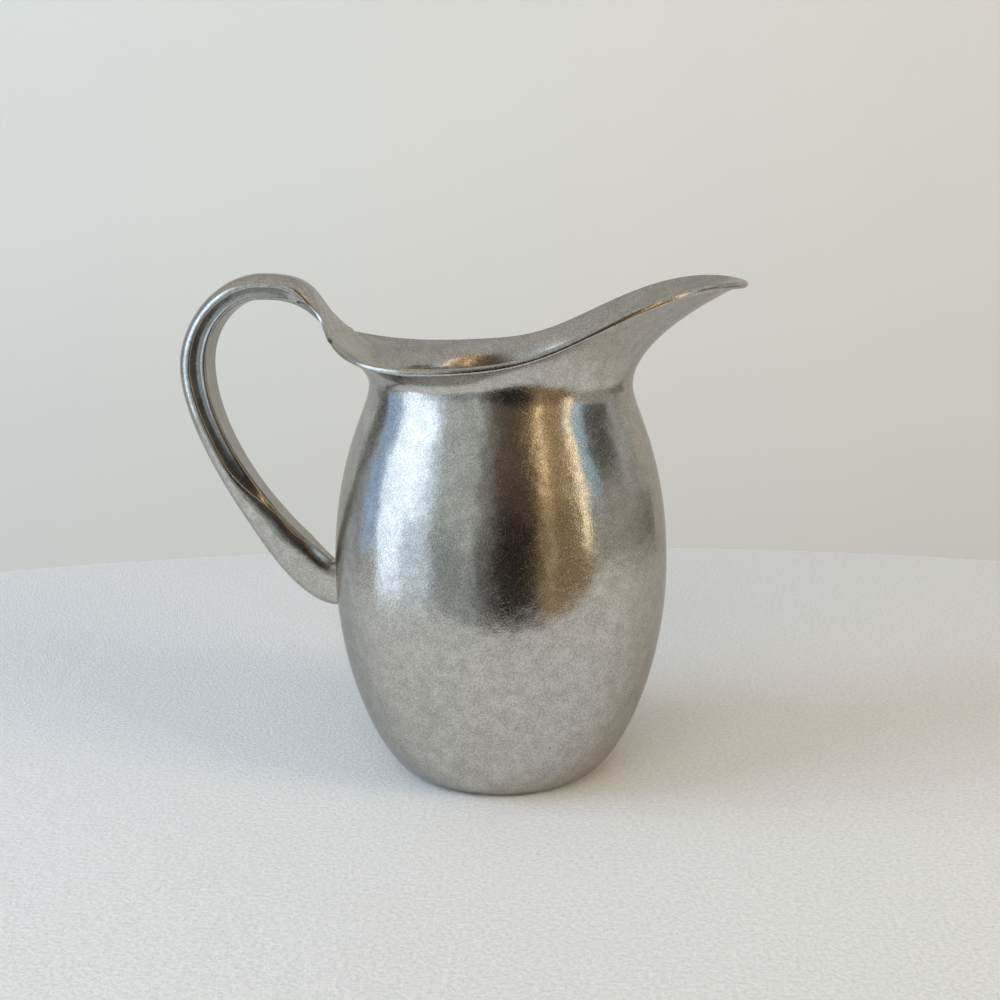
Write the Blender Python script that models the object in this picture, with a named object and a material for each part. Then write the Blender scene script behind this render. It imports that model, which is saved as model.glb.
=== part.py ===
"""Steel creamer: a drawn bell-shaped vessel with a rolled lip and a hollow two-piece handle.

Units are metres. The origin is the centre of the flat base, +X runs to the spout,
-X to the handle and +Z is up. The object is symmetric about the XZ plane.
"""
import math

import bmesh
import bpy
import numpy as np

MM = 0.001

# Vessel, outer face: radii and heights in millimetres
BASE_R = 25.8
BASE_FULLNESS = 30.0
BELLY_R = 50.4
BELLY_Z = 64.0
BELLY_LOW_FULLNESS = 100.0
BELLY_HIGH_FULLNESS = 105.0
NECK_R = 39.3
NECK_RISE = 55.2
NECK_FULLNESS = 20.0
WALL = 0.9

# Lip edge every 30 degrees from tip to rear: reach beyond the neck, rise over it, lean from upright
REACH_TIP = 31.8
REACH_SPOUT = 25.4
REACH_CHEEK = 12.8
REACH_SIDE = 7.8
REACH_QUARTER = 12.9
REACH_SHOULDER = 12.6
REACH_REAR = 10.6
RISE_TIP = 31.3
RISE_SPOUT = 30.6
RISE_CHEEK = 18.8
RISE_SIDE = 11.1
RISE_QUARTER = 8.9
RISE_SHOULDER = 13.9
RISE_REAR = 15.8
LEAN_TIP = 64.0
LEAN_SPOUT = 60.5
LEAN_CHEEK = 52.0
LEAN_SIDE = 46.0
LEAN_QUARTER = 54.0
LEAN_SHOULDER = 40.0
LEAN_REAR = 22.0
LIP_PULL = 4.0
LIP_PULL_SHARE = 0.72
LIP_END_SHARE = 0.9
BEAD_D = 1.8
BEAD_END_ANGLE = 115.0
FAN_ANGLE = 163.0

# Handle back line: top and rear measured out and up from the rear of the lip, low point from the belly
BACK_TOP_OUT = 21.3
BACK_TOP_UP = 16.95
BACK_REAR_OUT = 47.0
BACK_REAR_DOWN = 11.5
BACK_LOW_OUT = 23.6
BACK_LOW_UP = 6.4
BACK_LOW_FALL = 56.8
HEEL_DOWN = 13.6
ROOT_PULL = 38.0
TOP_PULL_IN = 44.0
TOP_PULL_OUT = 40.0
REAR_PULL_IN = 44.0
REAR_PULL_OUT = 55.0
LOW_PULL_IN = 30.0
LOW_PULL_OUT = 50.0
HEEL_PULL = 18.0

# Handle finger line, measured in the same way
FINGER_ROOT_OUT = 1.8
FINGER_ROOT_UP = 0.8
FINGER_ROOT_CLIMB = 52.0
FINGER_TOP_OUT = 21.0
FINGER_TOP_UP = 9.4
FINGER_REAR_OUT = 38.0
FINGER_REAR_DOWN = 10.5
FINGER_LOW_OUT = 14.0
FINGER_LOW_UP = 12.7
FINGER_LOW_FALL = 48.0
TOE_UP = 0.3
FINGER_ROOT_PULL = 34.0
FINGER_TOP_PULL_IN = 16.0
FINGER_TOP_PULL_OUT = 28.0
FINGER_REAR_PULL_IN = 32.0
FINGER_REAR_PULL_OUT = 50.0
FINGER_LOW_PULL = 55.0

# Outer stamping: half widths, crown depths and the depth and tuck of its edge
STRAP_HALF_ROOT = 9.5
STRAP_HALF_TOP = 7.9
STRAP_HALF_REAR = 7.6
STRAP_HALF_LOW = 7.2
STRAP_HALF_FOOT = 5.8
CROWN_ROOT = 1.2
CROWN_TOP = 3.2
CROWN_FOOT = 4.6
CROWN_POWER = 2.6
EDGE_ROOT = 0.8
EDGE_RISE = 4.2
EDGE_TOP = 3.9
EDGE_TURN = 3.9
EDGE_REAR = 4.5
EDGE_DROP = 4.8
EDGE_LOW = 10.3
EDGE_HEEL = 13.9
EDGE_FOOT = 12.2
EDGE_TUCK = 0.1
EDGE_TUCK_LOW = 0.8
EDGE_TUCK_FOOT = 2.3
STRAP_SHEET = 1.0
FAN_SPAN = 0.62
FAN_RISE = 18.0
FAN_WAIST = 0.55
FAN_CROWN_SHARE = 0.93
FAN_WALL_SHARE = 0.965

# Inner stamping: half widths of its finger face, ridge, groove and hidden edge
LINER_SHEET = 0.9
LINER_HALF_ROOT = 6.0
LINER_HALF_TOP = 7.0
LINER_HALF_LOW = 4.2
LINER_HALF_FOOT = 2.5
LINER_START = 0.2
LINER_OVERLAP = 1.4
RIDGE = 0.9
RIDGE_SHARE = 0.4
GROOVE = 0.9
GROOVE_LOW = 0.54
FLUSH_START = 2.6
FLUSH_END = 3.4

# Joints
CLEAR = 0.3
TOP_WELD = 0.7
FOOT_WELD = 0.6

# Mesh density
AROUND = 72
LOW_STEPS = 8
HIGH_STEPS = 8
LIP_STEPS = 7
BEAD_STEPS = 7
CROWN_STEPS = 7
ROOT_STEPS = 12
LOOP_STEPS = 9
WELD_STEPS = 25
SHARP_ANGLE = 38.0
MERGE = 1e-7

# Finish
STEEL = (0.55, 0.54, 0.52)
STEEL_BRIGHT = (0.62, 0.61, 0.60)
ROUGH_SATIN = 0.30
ROUGH_WELD = 0.42

# Derived places
NECK_Z = BELLY_Z + NECK_RISE
REAR_R = NECK_R + REACH_REAR
REAR_Z = NECK_Z + RISE_REAR
TOP_GAP = 2 * CLEAR + TOP_WELD
FOOT_GAP = 2 * CLEAR + FOOT_WELD


def hermite(p0, pull0, p1, pull1, u):
    """Cubic from p0 to p1 that leaves along pull0 and arrives along pull1."""
    u = np.asarray(u, float)[..., None]
    h00 = 2 * u**3 - 3 * u**2 + 1
    h10 = u**3 - 2 * u**2 + u
    h01 = -2 * u**3 + 3 * u**2
    h11 = u**3 - u**2
    return h00 * np.asarray(p0) + h10 * np.asarray(pull0) + h01 * np.asarray(p1) + h11 * np.asarray(pull1)


def ease(a, b, x):
    """Smooth step from 0 at a to 1 at b."""
    t = np.clip((np.asarray(x, float) - a) / (b - a), 0.0, 1.0)
    return t * t * (3 - 2 * t)


def even_series(stations, angle):
    """Smooth even function of angle through values 30 degrees apart from 0 to 180."""
    n = len(stations)
    nodes = np.linspace(0.0, math.pi, n)
    terms = np.linalg.solve(np.cos(np.outer(nodes, np.arange(n))), np.asarray(stations))
    return np.cos(np.multiply.outer(angle, np.arange(n))) @ terms


def vessel_profile():
    """Outer face from the base edge to the neck as points of radius and height."""
    low = hermite((BASE_R, 0.0), (BASE_FULLNESS, 0.0), (BELLY_R, BELLY_Z), (0.0, BELLY_LOW_FULLNESS),
                  np.linspace(0.0, 1.0, LOW_STEPS + 1))
    high = hermite((BELLY_R, BELLY_Z), (0.0, BELLY_HIGH_FULLNESS), (NECK_R, NECK_Z), (0.0, NECK_FULLNESS),
                   np.linspace(0.0, 1.0, HIGH_STEPS + 1))
    return np.vstack([low, high[1:]])


def belly_radius(z):
    """Outer radius of the vessel at a height between the base and the neck."""
    u = np.linspace(0.0, 1.0, 200)
    low = hermite((BASE_R, 0.0), (BASE_FULLNESS, 0.0), (BELLY_R, BELLY_Z), (0.0, BELLY_LOW_FULLNESS), u)
    high = hermite((BELLY_R, BELLY_Z), (0.0, BELLY_HIGH_FULLNESS), (NECK_R, NECK_Z), (0.0, NECK_FULLNESS), u)
    line = np.vstack([low, high[1:]])
    return np.interp(z, line[:, 1], line[:, 0])


def lip_edge(angle):
    """Centre of the rolled edge, its radius, and the lip's direction and outward side there."""
    a = np.abs(angle)
    half = WALL / 2 + (BEAD_D / 2 - WALL / 2) * (1 - ease(BEAD_END_ANGLE, FAN_ANGLE, np.degrees(a)))
    radius = NECK_R + even_series((REACH_TIP, REACH_SPOUT, REACH_CHEEK, REACH_SIDE, REACH_QUARTER,
                                   REACH_SHOULDER, REACH_REAR), a)
    height = NECK_Z - half + even_series((RISE_TIP, RISE_SPOUT, RISE_CHEEK, RISE_SIDE, RISE_QUARTER,
                                          RISE_SHOULDER, RISE_REAR), a)
    lean = np.radians(even_series((LEAN_TIP, LEAN_SPOUT, LEAN_CHEEK, LEAN_SIDE, LEAN_QUARTER,
                                   LEAN_SHOULDER, LEAN_REAR), a))
    along = np.stack([np.sin(lean), np.cos(lean)], -1)
    side = np.stack([np.cos(lean), -np.sin(lean)], -1)
    return np.stack([radius, height], -1), half, along, side


def section_at(angle):
    """Closed wall section of the vessel at one angle, from the outer base centre to the inner one."""
    centre, half, along, side = lip_edge(angle)
    crease = centre + (WALL - half) * side - along * math.sqrt(max(half**2 - (WALL - half)**2, 0.0))
    rise = math.hypot(crease[0] - NECK_R, crease[1] - NECK_Z)
    lip = hermite((NECK_R, NECK_Z), (0.0, LIP_PULL + LIP_PULL_SHARE * rise), crease,
                  along * LIP_END_SHARE * rise, np.linspace(0.0, 1.0, LIP_STEPS + 1))
    outer = np.vstack([vessel_profile(), lip[1:]])
    slope = np.gradient(outer, axis=0)
    slope[0] = (1.0, 0.0)
    slope[-1] = along
    slope /= np.linalg.norm(slope, axis=1)[:, None]
    inner = outer - WALL * np.stack([slope[:, 1], -slope[:, 0]], -1)
    start = math.atan2(-math.sqrt(max(half**2 - (WALL - half)**2, 0.0)), WALL - half)
    turn = np.linspace(start, math.pi, BEAD_STEPS + 1)[1:]
    bead = centre + half * (np.cos(turn)[:, None] * side + np.sin(turn)[:, None] * along)
    return outer, bead, inner


def new_object(name, bm, colour, roughness):
    """Turn a finished bmesh into a smooth-shaded object with its own steel."""
    bmesh.ops.remove_doubles(bm, verts=bm.verts, dist=MERGE)
    bmesh.ops.recalc_face_normals(bm, faces=bm.faces)
    mesh = bpy.data.meshes.new(name)
    bm.to_mesh(mesh)
    bm.free()
    mesh.shade_smooth()
    mesh.set_sharp_from_angle(angle=math.radians(SHARP_ANGLE))
    steel = bpy.data.materials.new(name + "_steel")
    steel.use_nodes = True
    shader = steel.node_tree.nodes["Principled BSDF"]
    shader.inputs["Base Color"].default_value = (*colour, 1.0)
    shader.inputs["Metallic"].default_value = 1.0
    shader.inputs["Roughness"].default_value = roughness
    mesh.materials.append(steel)
    obj = bpy.data.objects.new(name, mesh)
    bpy.context.collection.objects.link(obj)
    return obj


def add_grid(bm, points, close_rows=False, close_columns=False):
    """Add a grid of points as quads and return its vertices."""
    verts = [[bm.verts.new(tuple(p * MM)) for p in row] for row in points]
    rows = len(verts)
    columns = len(verts[0])
    for i in range(rows if close_rows else rows - 1):
        for j in range(columns if close_columns else columns - 1):
            a = verts[i][j]
            b = verts[(i + 1) % rows][j]
            c = verts[(i + 1) % rows][(j + 1) % columns]
            d = verts[i][(j + 1) % columns]
            bm.faces.new((a, b, c, d))
    return verts


def sheet_solid(name, outer, inner, colour, roughness):
    """Closed solid between two grids of the same size, as a sheet with four edges."""
    bm = bmesh.new()
    top = add_grid(bm, outer)
    under = add_grid(bm, inner)
    rows = len(top)
    columns = len(top[0])
    for i in range(rows - 1):
        for j in (0, columns - 1):
            bm.faces.new((top[i][j], top[i + 1][j], under[i + 1][j], under[i][j]))
    for j in range(columns - 1):
        for i in (0, rows - 1):
            bm.faces.new((top[i][j], top[i][j + 1], under[i][j + 1], under[i][j]))
    return new_object(name, bm, colour, roughness)


def body_shell():
    """Vessel, lip and rolled edge as one sheet: wall sections carried round the axis."""
    rings = []
    for angle in np.linspace(-math.pi, math.pi, AROUND, endpoint=False):
        outer, bead, inner = section_at(angle)
        line = np.vstack([outer, bead, inner[::-1]])
        rings.append(np.stack([line[:, 0] * math.cos(angle), line[:, 0] * math.sin(angle), line[:, 1]], -1))
    bm = bmesh.new()
    verts = add_grid(bm, rings, close_rows=True)
    for column, height in ((0, 0.0), (len(rings[0]) - 1, WALL)):
        pole = bm.verts.new((0.0, 0.0, height * MM))
        for i in range(AROUND):
            bm.faces.new((verts[i][column], verts[(i + 1) % AROUND][column], pole))
    return new_object("body_shell", bm, STEEL, ROUGH_SATIN)


def fall(degrees):
    """Unit direction in the XZ plane that runs toward the vessel and falls by an angle."""
    return np.array((math.cos(math.radians(degrees)), -math.sin(math.radians(degrees))))


def handle_lines(u):
    """Back line and finger line of the handle; u runs 0 to 4 from the lip over the loop to the belly."""
    centre, half, along, side = lip_edge(math.pi)
    start = centre - half * side + along * (half + TOP_GAP)
    root = (-start[0], start[1])
    lean = np.array((-along[0], along[1]))
    left = np.array((-1.0, 0.0))
    down = np.array((0.0, -1.0))
    heel_z = BELLY_Z - HEEL_DOWN
    heel = (-belly_radius(heel_z) - FOOT_GAP, heel_z)
    top = (-REAR_R - BACK_TOP_OUT, REAR_Z + BACK_TOP_UP)
    rear = (-REAR_R - BACK_REAR_OUT, REAR_Z - BACK_REAR_DOWN)
    low = (-BELLY_R - BACK_LOW_OUT, BELLY_Z + BACK_LOW_UP)
    low_way = fall(BACK_LOW_FALL)
    back = (
        (root, lean * ROOT_PULL, top, left * TOP_PULL_IN),
        (top, left * TOP_PULL_OUT, rear, down * REAR_PULL_IN),
        (rear, down * REAR_PULL_OUT, low, low_way * LOW_PULL_IN),
        (low, low_way * LOW_PULL_OUT, heel, -left * HEEL_PULL),
    )
    toe_z = BELLY_Z + TOE_UP
    toe = (-belly_radius(toe_z) - FOOT_GAP, toe_z)
    finger_root = (-REAR_R - FINGER_ROOT_OUT, REAR_Z + FINGER_ROOT_UP)
    finger_top = (-REAR_R - FINGER_TOP_OUT, REAR_Z + FINGER_TOP_UP)
    finger_rear = (-REAR_R - FINGER_REAR_OUT, REAR_Z - FINGER_REAR_DOWN)
    finger_low = (-BELLY_R - FINGER_LOW_OUT, BELLY_Z + FINGER_LOW_UP)
    climb = -fall(FINGER_ROOT_CLIMB)
    toe_way = np.subtract(toe, finger_low)
    finger = (
        (finger_root, climb * FINGER_ROOT_PULL, finger_top, left * FINGER_TOP_PULL_IN),
        (finger_top, left * FINGER_TOP_PULL_OUT, finger_rear, down * FINGER_REAR_PULL_IN),
        (finger_rear, down * FINGER_REAR_PULL_OUT, finger_low, fall(FINGER_LOW_FALL) * FINGER_LOW_PULL),
        (finger_low, toe_way, toe, toe_way),
    )
    k = min(int(u), 3)
    return hermite(*back[k], u - k), hermite(*finger[k], u - k)


def stations(u, values):
    """Smooth value along the handle from values at even steps from its root to its foot."""
    last = len(values) - 1
    step = u * last / 4
    k = min(int(step), last - 1)
    return values[k] + (values[k + 1] - values[k]) * float(ease(0.0, 1.0, step - k))


def handle_frame(u):
    """Back point, unit direction to the finger line and depth of the handle section at u."""
    back, finger = handle_lines(u)
    across = finger - back
    depth = float(np.linalg.norm(across))
    return back, across / depth, depth


def crown_turn():
    """Angles from the middle of the crown to its side."""
    return np.linspace(0.0, math.pi / 2, CROWN_STEPS)


def strap_rows(u, thin):
    """Half section of the outer stamping from the crown to its edge; thin insets it by the sheet."""
    half = stations(u, (STRAP_HALF_ROOT, STRAP_HALF_TOP, STRAP_HALF_REAR, STRAP_HALF_LOW,
                        STRAP_HALF_FOOT)) - thin
    crown = stations(u, (CROWN_ROOT, CROWN_TOP, CROWN_TOP, CROWN_TOP, CROWN_FOOT)) - thin
    edge = stations(u, (EDGE_ROOT, EDGE_RISE, EDGE_TOP, EDGE_TURN, EDGE_REAR, EDGE_DROP, EDGE_LOW,
                        EDGE_HEEL, EDGE_FOOT))
    edge_half = half - stations(u, (EDGE_TUCK, EDGE_TUCK, EDGE_TUCK, EDGE_TUCK_LOW, EDGE_TUCK_FOOT))
    b = half * np.sin(crown_turn()) ** (2 / CROWN_POWER)
    n = thin + crown * (1 - np.cos(crown_turn()))
    wall_b = (half + edge_half) / 2
    wall_n = (thin + crown + edge) / 2
    return np.append(b, (wall_b, edge_half)), np.append(n, (wall_n, edge))


def mirror_rows(b, n):
    """Whole section from one edge to the other out of the half from the middle to the edge."""
    return np.concatenate([-b[:0:-1], b]), np.concatenate([n[:0:-1], n])


def section_points(u, b, n):
    """Place section offsets, sideways b and inward n, on the handle at u."""
    back, inward, depth = handle_frame(u)
    return np.stack([back[0] + inward[0] * n, b, back[1] + inward[1] * n], -1)


def on_belly(points, clearance):
    """Slide points along X onto the belly, leaving a clearance."""
    points = points.copy()
    reach = np.sqrt(np.maximum(belly_radius(points[:, 2])**2 - points[:, 1]**2, 0.0))
    points[:, 0] = -reach - clearance
    return points


def root_points(share, lift, offset):
    """Points above the rear of the lip: share -1 to 1 across the fan, lift along the lip, offset outward."""
    points = []
    for s in share:
        angle = math.pi - abs(s) * math.radians(180.0 - FAN_ANGLE)
        centre, half, along, side = lip_edge(angle)
        p = centre - half * side + along * (half + lift) + side * offset
        points.append((p[0] * math.cos(angle), math.copysign(p[0] * math.sin(angle), s), p[1]))
    return np.array(points)


def handle_back():
    """Outer stamping: a fan on the rear of the lip that folds into a crowned channel and a deep heel."""
    outer, inner = [], []
    share = FAN_CROWN_SHARE * np.sin(crown_turn()) ** (2 / CROWN_POWER)
    share = np.append(share, (FAN_WALL_SHARE, 1.0))
    share = np.concatenate([-share[:0:-1], share])
    steps = np.append(np.linspace(0.0, 1.0, ROOT_STEPS), np.linspace(1.0, 4.0, 3 * LOOP_STEPS + 1)[1:])
    for u in steps:
        near = section_points(u, *mirror_rows(*strap_rows(u, 0.0)))
        under = section_points(u, *mirror_rows(*strap_rows(u, STRAP_SHEET)))
        blend = float(ease(0.0, FAN_SPAN, u))
        lift = TOP_GAP + FAN_RISE * u
        narrow = share * (FAN_WAIST + (1 - FAN_WAIST) * max(1 - u / FAN_SPAN, 0.0) ** 2)
        outer.append(near * blend + root_points(narrow, lift, 0.0) * (1 - blend))
        inner.append(under * blend + root_points(narrow, lift, STRAP_SHEET) * (1 - blend))
    outer[-1] = on_belly(outer[-1], FOOT_GAP)
    inner[-1] = on_belly(inner[-1], FOOT_GAP)
    return sheet_solid("handle_back", outer, inner, STEEL, ROUGH_SATIN)


def liner_rows(u, thin):
    """Half section of the inner stamping from the middle of its finger face to its hidden edge."""
    depth = handle_frame(u)[2]
    b, n = strap_rows(u, STRAP_SHEET)
    throat = b[-1] - CLEAR
    edge = n[-1]
    half = stations(u, (LINER_HALF_ROOT, LINER_HALF_TOP, LINER_HALF_TOP, LINER_HALF_LOW, LINER_HALF_FOOT))
    span = depth - edge - CLEAR
    ridge = min(RIDGE, RIDGE_SHARE * span)
    dip = stations(u, (0.0, GROOVE, GROOVE, GROOVE_LOW, 0.0))
    brow = throat + (STRAP_SHEET + CLEAR) * float(ease(FLUSH_START, FLUSH_END, u))
    drop = np.array((0.72, 0.45, 0.2, 0.0))
    side_b = brow + (half - brow) * drop**2 - dip * np.sin(math.pi * drop)
    side_n = edge + CLEAR + (span - ridge) * drop
    face_b = np.array((0.0, half / 2, half - ridge, half - ridge / 3, half))
    face_n = np.array((depth, depth, depth, depth - ridge / 3, depth - ridge))
    tuck = min(LINER_OVERLAP, (edge - n[CROWN_STEPS - 1] + STRAP_SHEET) / 2)
    row_b = np.concatenate([face_b, side_b, (throat, throat)])
    row_n = np.concatenate([face_n, side_n, (edge + CLEAR / 2, edge - tuck)])
    if thin:
        row_b = np.maximum(np.minimum(row_b, throat) - thin, row_b / 3)
        row_n = np.minimum(row_n, depth - thin)
    return row_b, row_n


def handle_liner():
    """Inner stamping: a tray nested in the channel, with a waisted side and a rounded ridge."""
    outer, inner = [], []
    for u in np.linspace(LINER_START, 4.0, 4 * LOOP_STEPS):
        outer.append(section_points(u, *mirror_rows(*liner_rows(u, 0.0))))
        inner.append(section_points(u, *mirror_rows(*liner_rows(u, LINER_SHEET))))
    outer[-1] = on_belly(outer[-1], FOOT_GAP)
    inner[-1] = on_belly(inner[-1], FOOT_GAP)
    return sheet_solid("handle_liner", outer, inner, STEEL_BRIGHT, ROUGH_SATIN)


def handle_top_weld():
    """Ground weld along the rear of the lip, between the lip's edge and the fan."""
    share = np.linspace(-1.0, 1.0, WELD_STEPS)
    low = root_points(share, CLEAR, 0.0), root_points(share, CLEAR, WALL)
    high = root_points(share, CLEAR + TOP_WELD, 0.0), root_points(share, CLEAR + TOP_WELD, WALL)
    return sheet_solid("handle_top_weld", [low[0], high[0]], [low[1], high[1]], STEEL_BRIGHT, ROUGH_WELD)


def handle_foot_weld():
    """Weld round the foot: a narrow band that follows the outline of the handle's end on the belly."""
    b, n = strap_rows(4.0, 0.0)
    depth = handle_frame(4.0)[2]
    half_b = np.append(b, (LINER_HALF_FOOT, LINER_HALF_FOOT / 2))
    half_n = np.append(n, (depth - RIDGE, depth))
    loop_b = np.concatenate([half_b, -half_b[:0:-1]])
    loop_n = np.concatenate([half_n, half_n[:0:-1]])
    line = section_points(4.0, loop_b, loop_n)
    ahead = np.roll(line, -1, axis=0) - np.roll(line, 1, axis=0)
    inward = np.stack([np.zeros(len(line)), ahead[:, 2], -ahead[:, 1]], -1)
    inward /= np.linalg.norm(inward, axis=1)[:, None]
    inward *= np.sign(((line.mean(axis=0) - line) * inward).sum(axis=1))[:, None]
    inset = line + inward * STRAP_SHEET
    rings = [on_belly(line, CLEAR), on_belly(line, CLEAR + FOOT_WELD),
             on_belly(inset, CLEAR + FOOT_WELD), on_belly(inset, CLEAR)]
    bm = bmesh.new()
    add_grid(bm, rings, close_rows=True, close_columns=True)
    return new_object("handle_foot_weld", bm, STEEL_BRIGHT, ROUGH_WELD)


def main():
    for obj in list(bpy.data.objects):
        bpy.data.objects.remove(obj, do_unlink=True)
    body = body_shell()
    for piece in (handle_back(), handle_liner(), handle_top_weld(), handle_foot_weld()):
        piece.parent = body


main()
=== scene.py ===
"""Satin steel creamer: smooth surfaces, steel finishes and a plain studio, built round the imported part.

Units are metres. The origin is the centre of the base, +X runs to the spout and +Z is up.
"""
import math

import bmesh
import bpy
import numpy as np
from bpy.props import FloatProperty, FloatVectorProperty, PointerProperty
from mathutils import Matrix, Vector


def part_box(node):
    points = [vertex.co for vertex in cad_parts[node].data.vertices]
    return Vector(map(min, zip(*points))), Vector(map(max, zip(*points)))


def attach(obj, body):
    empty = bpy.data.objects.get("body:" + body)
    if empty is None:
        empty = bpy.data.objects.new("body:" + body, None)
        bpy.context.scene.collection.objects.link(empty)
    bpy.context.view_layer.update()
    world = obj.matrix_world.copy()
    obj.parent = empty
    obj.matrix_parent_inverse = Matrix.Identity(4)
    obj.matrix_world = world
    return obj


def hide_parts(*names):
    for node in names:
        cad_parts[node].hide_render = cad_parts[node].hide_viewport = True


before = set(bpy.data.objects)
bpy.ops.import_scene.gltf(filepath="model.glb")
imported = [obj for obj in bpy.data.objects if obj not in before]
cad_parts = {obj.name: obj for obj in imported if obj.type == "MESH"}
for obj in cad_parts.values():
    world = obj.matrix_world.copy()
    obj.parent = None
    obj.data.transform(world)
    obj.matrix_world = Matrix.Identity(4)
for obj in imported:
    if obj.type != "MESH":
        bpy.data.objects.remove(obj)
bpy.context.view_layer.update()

bl_info = {
    "name": "Satin Steel Creamer",
    "version": (1, 0, 0),
    "blender": (4, 5, 0),
    "location": "View3D > Sidebar > Creamer",
    "description": "Builds a satin steel creamer with a hollow handle, and a plain studio round it",
    "category": "Add Mesh",
}

BODY_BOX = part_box("body_shell")
SURFACE_MAP = "surface"

# Mesh density
AROUND = 300
LOW_ROWS = 44
HIGH_ROWS = 44
LIP_ROWS = 36
BEAD_ROWS = 16
BASE_RINGS = 4
LOOP_ROWS = 260
CROWN_POINTS = 22
WALL_POINTS = 10
ROUND_POINTS = 8
LINER_SOFTENING = 3
WELD_ROWS = 64
WELD_POINTS = 13
CORNER_POINTS = 6
FILLET_POINTS = 7
PROFILE_POINTS = 400
FLOOR_POINTS = 512
SHARP_ANGLE = math.radians(42.0)

# Side of the inner stamping, from the ridge to the outer sheet: parts of its depth, and of the groove there
SIDE_DROP = np.array((0.78, 0.52, 0.26, 0.0))
SIDE_WAIST = np.array((0.9, 1.0, 0.5, 0.0))
# The hidden edge of the inner stamping stays beyond this part of the crown's depth
CROWN_CLEARANCE = 0.9
# How far the foot's end reaches into the belly's wall, in parts of the wall
FOOT_SINK = 0.25

# Patterns in the steel: levels between which a mark fades in, directions in radians, and what marks add
SCRATCH_TURNS = (0.5, 1.25, 2.3, 2.9)
SCRATCH_LEVELS = {"From Min": 0.72, "From Max": 0.78}
LENGTH_TO_WIDTH = 60
PIT_LEVELS = {"From Min": 0.045, "From Max": 0.02}
PIT_CHOICE = 0.72  # Cells whose random value is lower have no speck
BLOTCH_WEIGHT = 0.5
TONE_LEVELS = {"From Min": 0.62, "From Max": 0.92}
BLOTCH_LEVELS = {"From Min": 0.3, "From Max": 0.7}
BLOTCH_ROUGHNESS = 0.02
GRAIN_ROUGHNESS = 0.12
SCRATCH_ROUGHNESS = 0.1
# Levels between which the fleece turns from shade to tuft
TUFT_LEVELS = {"From Min": 0.3, "From Max": 0.6}
# Sockets of the colour Mix node, which share their names with its other kinds
MIX_A, MIX_B, MIX_RESULT = 6, 7, 2


def linear(code):
    """Linear colour of an sRGB hex value."""
    srgb = np.array([int(code[i:i + 2], 16) for i in (0, 2, 4)]) / 255.0
    return tuple(np.where(srgb <= 0.04045, srgb / 12.92, ((srgb + 0.055) / 1.055) ** 2.4).tolist())


def length(name, description, default):
    """Property for one length."""
    return FloatProperty(name=name, description=description, default=default, unit="LENGTH", precision=5)


def lengths(name, description, millimetres):
    """Property for a row of lengths given in millimetres."""
    values = tuple(value * 0.001 for value in millimetres)
    return FloatVectorProperty(name=name, description=description, size=len(values), default=values,
                               unit="LENGTH", precision=5)


def angle(name, description, degrees):
    """Property for one angle given in degrees."""
    return FloatProperty(name=name, description=description, default=math.radians(degrees), unit="ROTATION")


def angles(name, description, degrees):
    """Property for a row of angles given in degrees."""
    values = tuple(math.radians(value) for value in degrees)
    return FloatVectorProperty(name=name, description=description, size=len(values), default=values,
                               unit="ROTATION")


def share(name, description, default):
    """Property for a plain number."""
    return FloatProperty(name=name, description=description, default=default)


def shares(name, description, values):
    """Property for a row of plain numbers."""
    return FloatVectorProperty(name=name, description=description, size=len(values), default=values)


def colour(name, description, code):
    """Property for a colour given as an sRGB hex value."""
    return FloatVectorProperty(name=name, description=description, size=3, default=linear(code),
                               subtype="COLOR", min=0.0, max=1.0)


class VesselSizes(bpy.types.PropertyGroup):
    """Sizes of the drawn vessel, its lip and its rolled edge."""

    base_radius: length("Base radius", "Flat base, before the corner turns up", 0.0258)
    base_fullness: length("Base fullness", "Pull of the profile where it leaves the base", 0.030)
    belly_radius: length("Belly radius", "Widest outer radius", BODY_BOX[1].y)
    belly_height: length("Belly height", "Height of the widest place", 0.064)
    belly_low_fullness: length("Fullness below", "Pull of the profile as it comes up to the belly", 0.100)
    belly_high_fullness: length("Fullness above", "Pull of the profile as it leaves the belly", 0.105)
    neck_radius: length("Neck radius", "Narrowest outer radius", 0.0393)
    neck_rise: length("Neck rise", "Neck above the belly", 0.0558)
    neck_fullness: length("Neck fullness", "Pull of the profile at the neck", 0.022)
    wall: length("Wall", "Sheet thickness", 0.0009)
    lip_reach: lengths("Lip reach", "Edge beyond the neck, every 30 degrees from tip to rear",
                       (31.8, 25.0, 10.6, 5.6, 11.0, 12.4, 10.6))
    lip_rise: lengths("Lip rise", "Edge above the neck, every 30 degrees from tip to rear",
                      (30.7, 30.1, 18.2, 9.9, 8.8, 12.3, 15.2))
    lip_lean: angles("Lip lean", "Lean of the edge from upright, every 30 degrees from tip to rear",
                     (64.0, 60.0, 57.0, 62.0, 62.0, 45.0, 22.0))
    lip_pull: shares("Lip pull", "Pull at the neck over the lip's length, every 30 degrees from tip to rear",
                     (0.86, 0.86, 1.10, 1.34, 1.30, 1.00, 0.86))
    lip_end: shares("Lip end", "Pull at the edge over the lip's length, every 30 degrees from tip to rear",
                    (0.90, 0.90, 0.75, 0.60, 0.65, 0.80, 0.90))
    bead: length("Rolled edge", "Diameter of the rolled edge", 0.0021)
    bead_end: angle("Rolled edge end", "Angle from the spout where the roll starts to flatten", 115.0)
    fan_edge: angle("Fan edge", "Angle from the spout where the handle's fan begins", 158.5)


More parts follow.
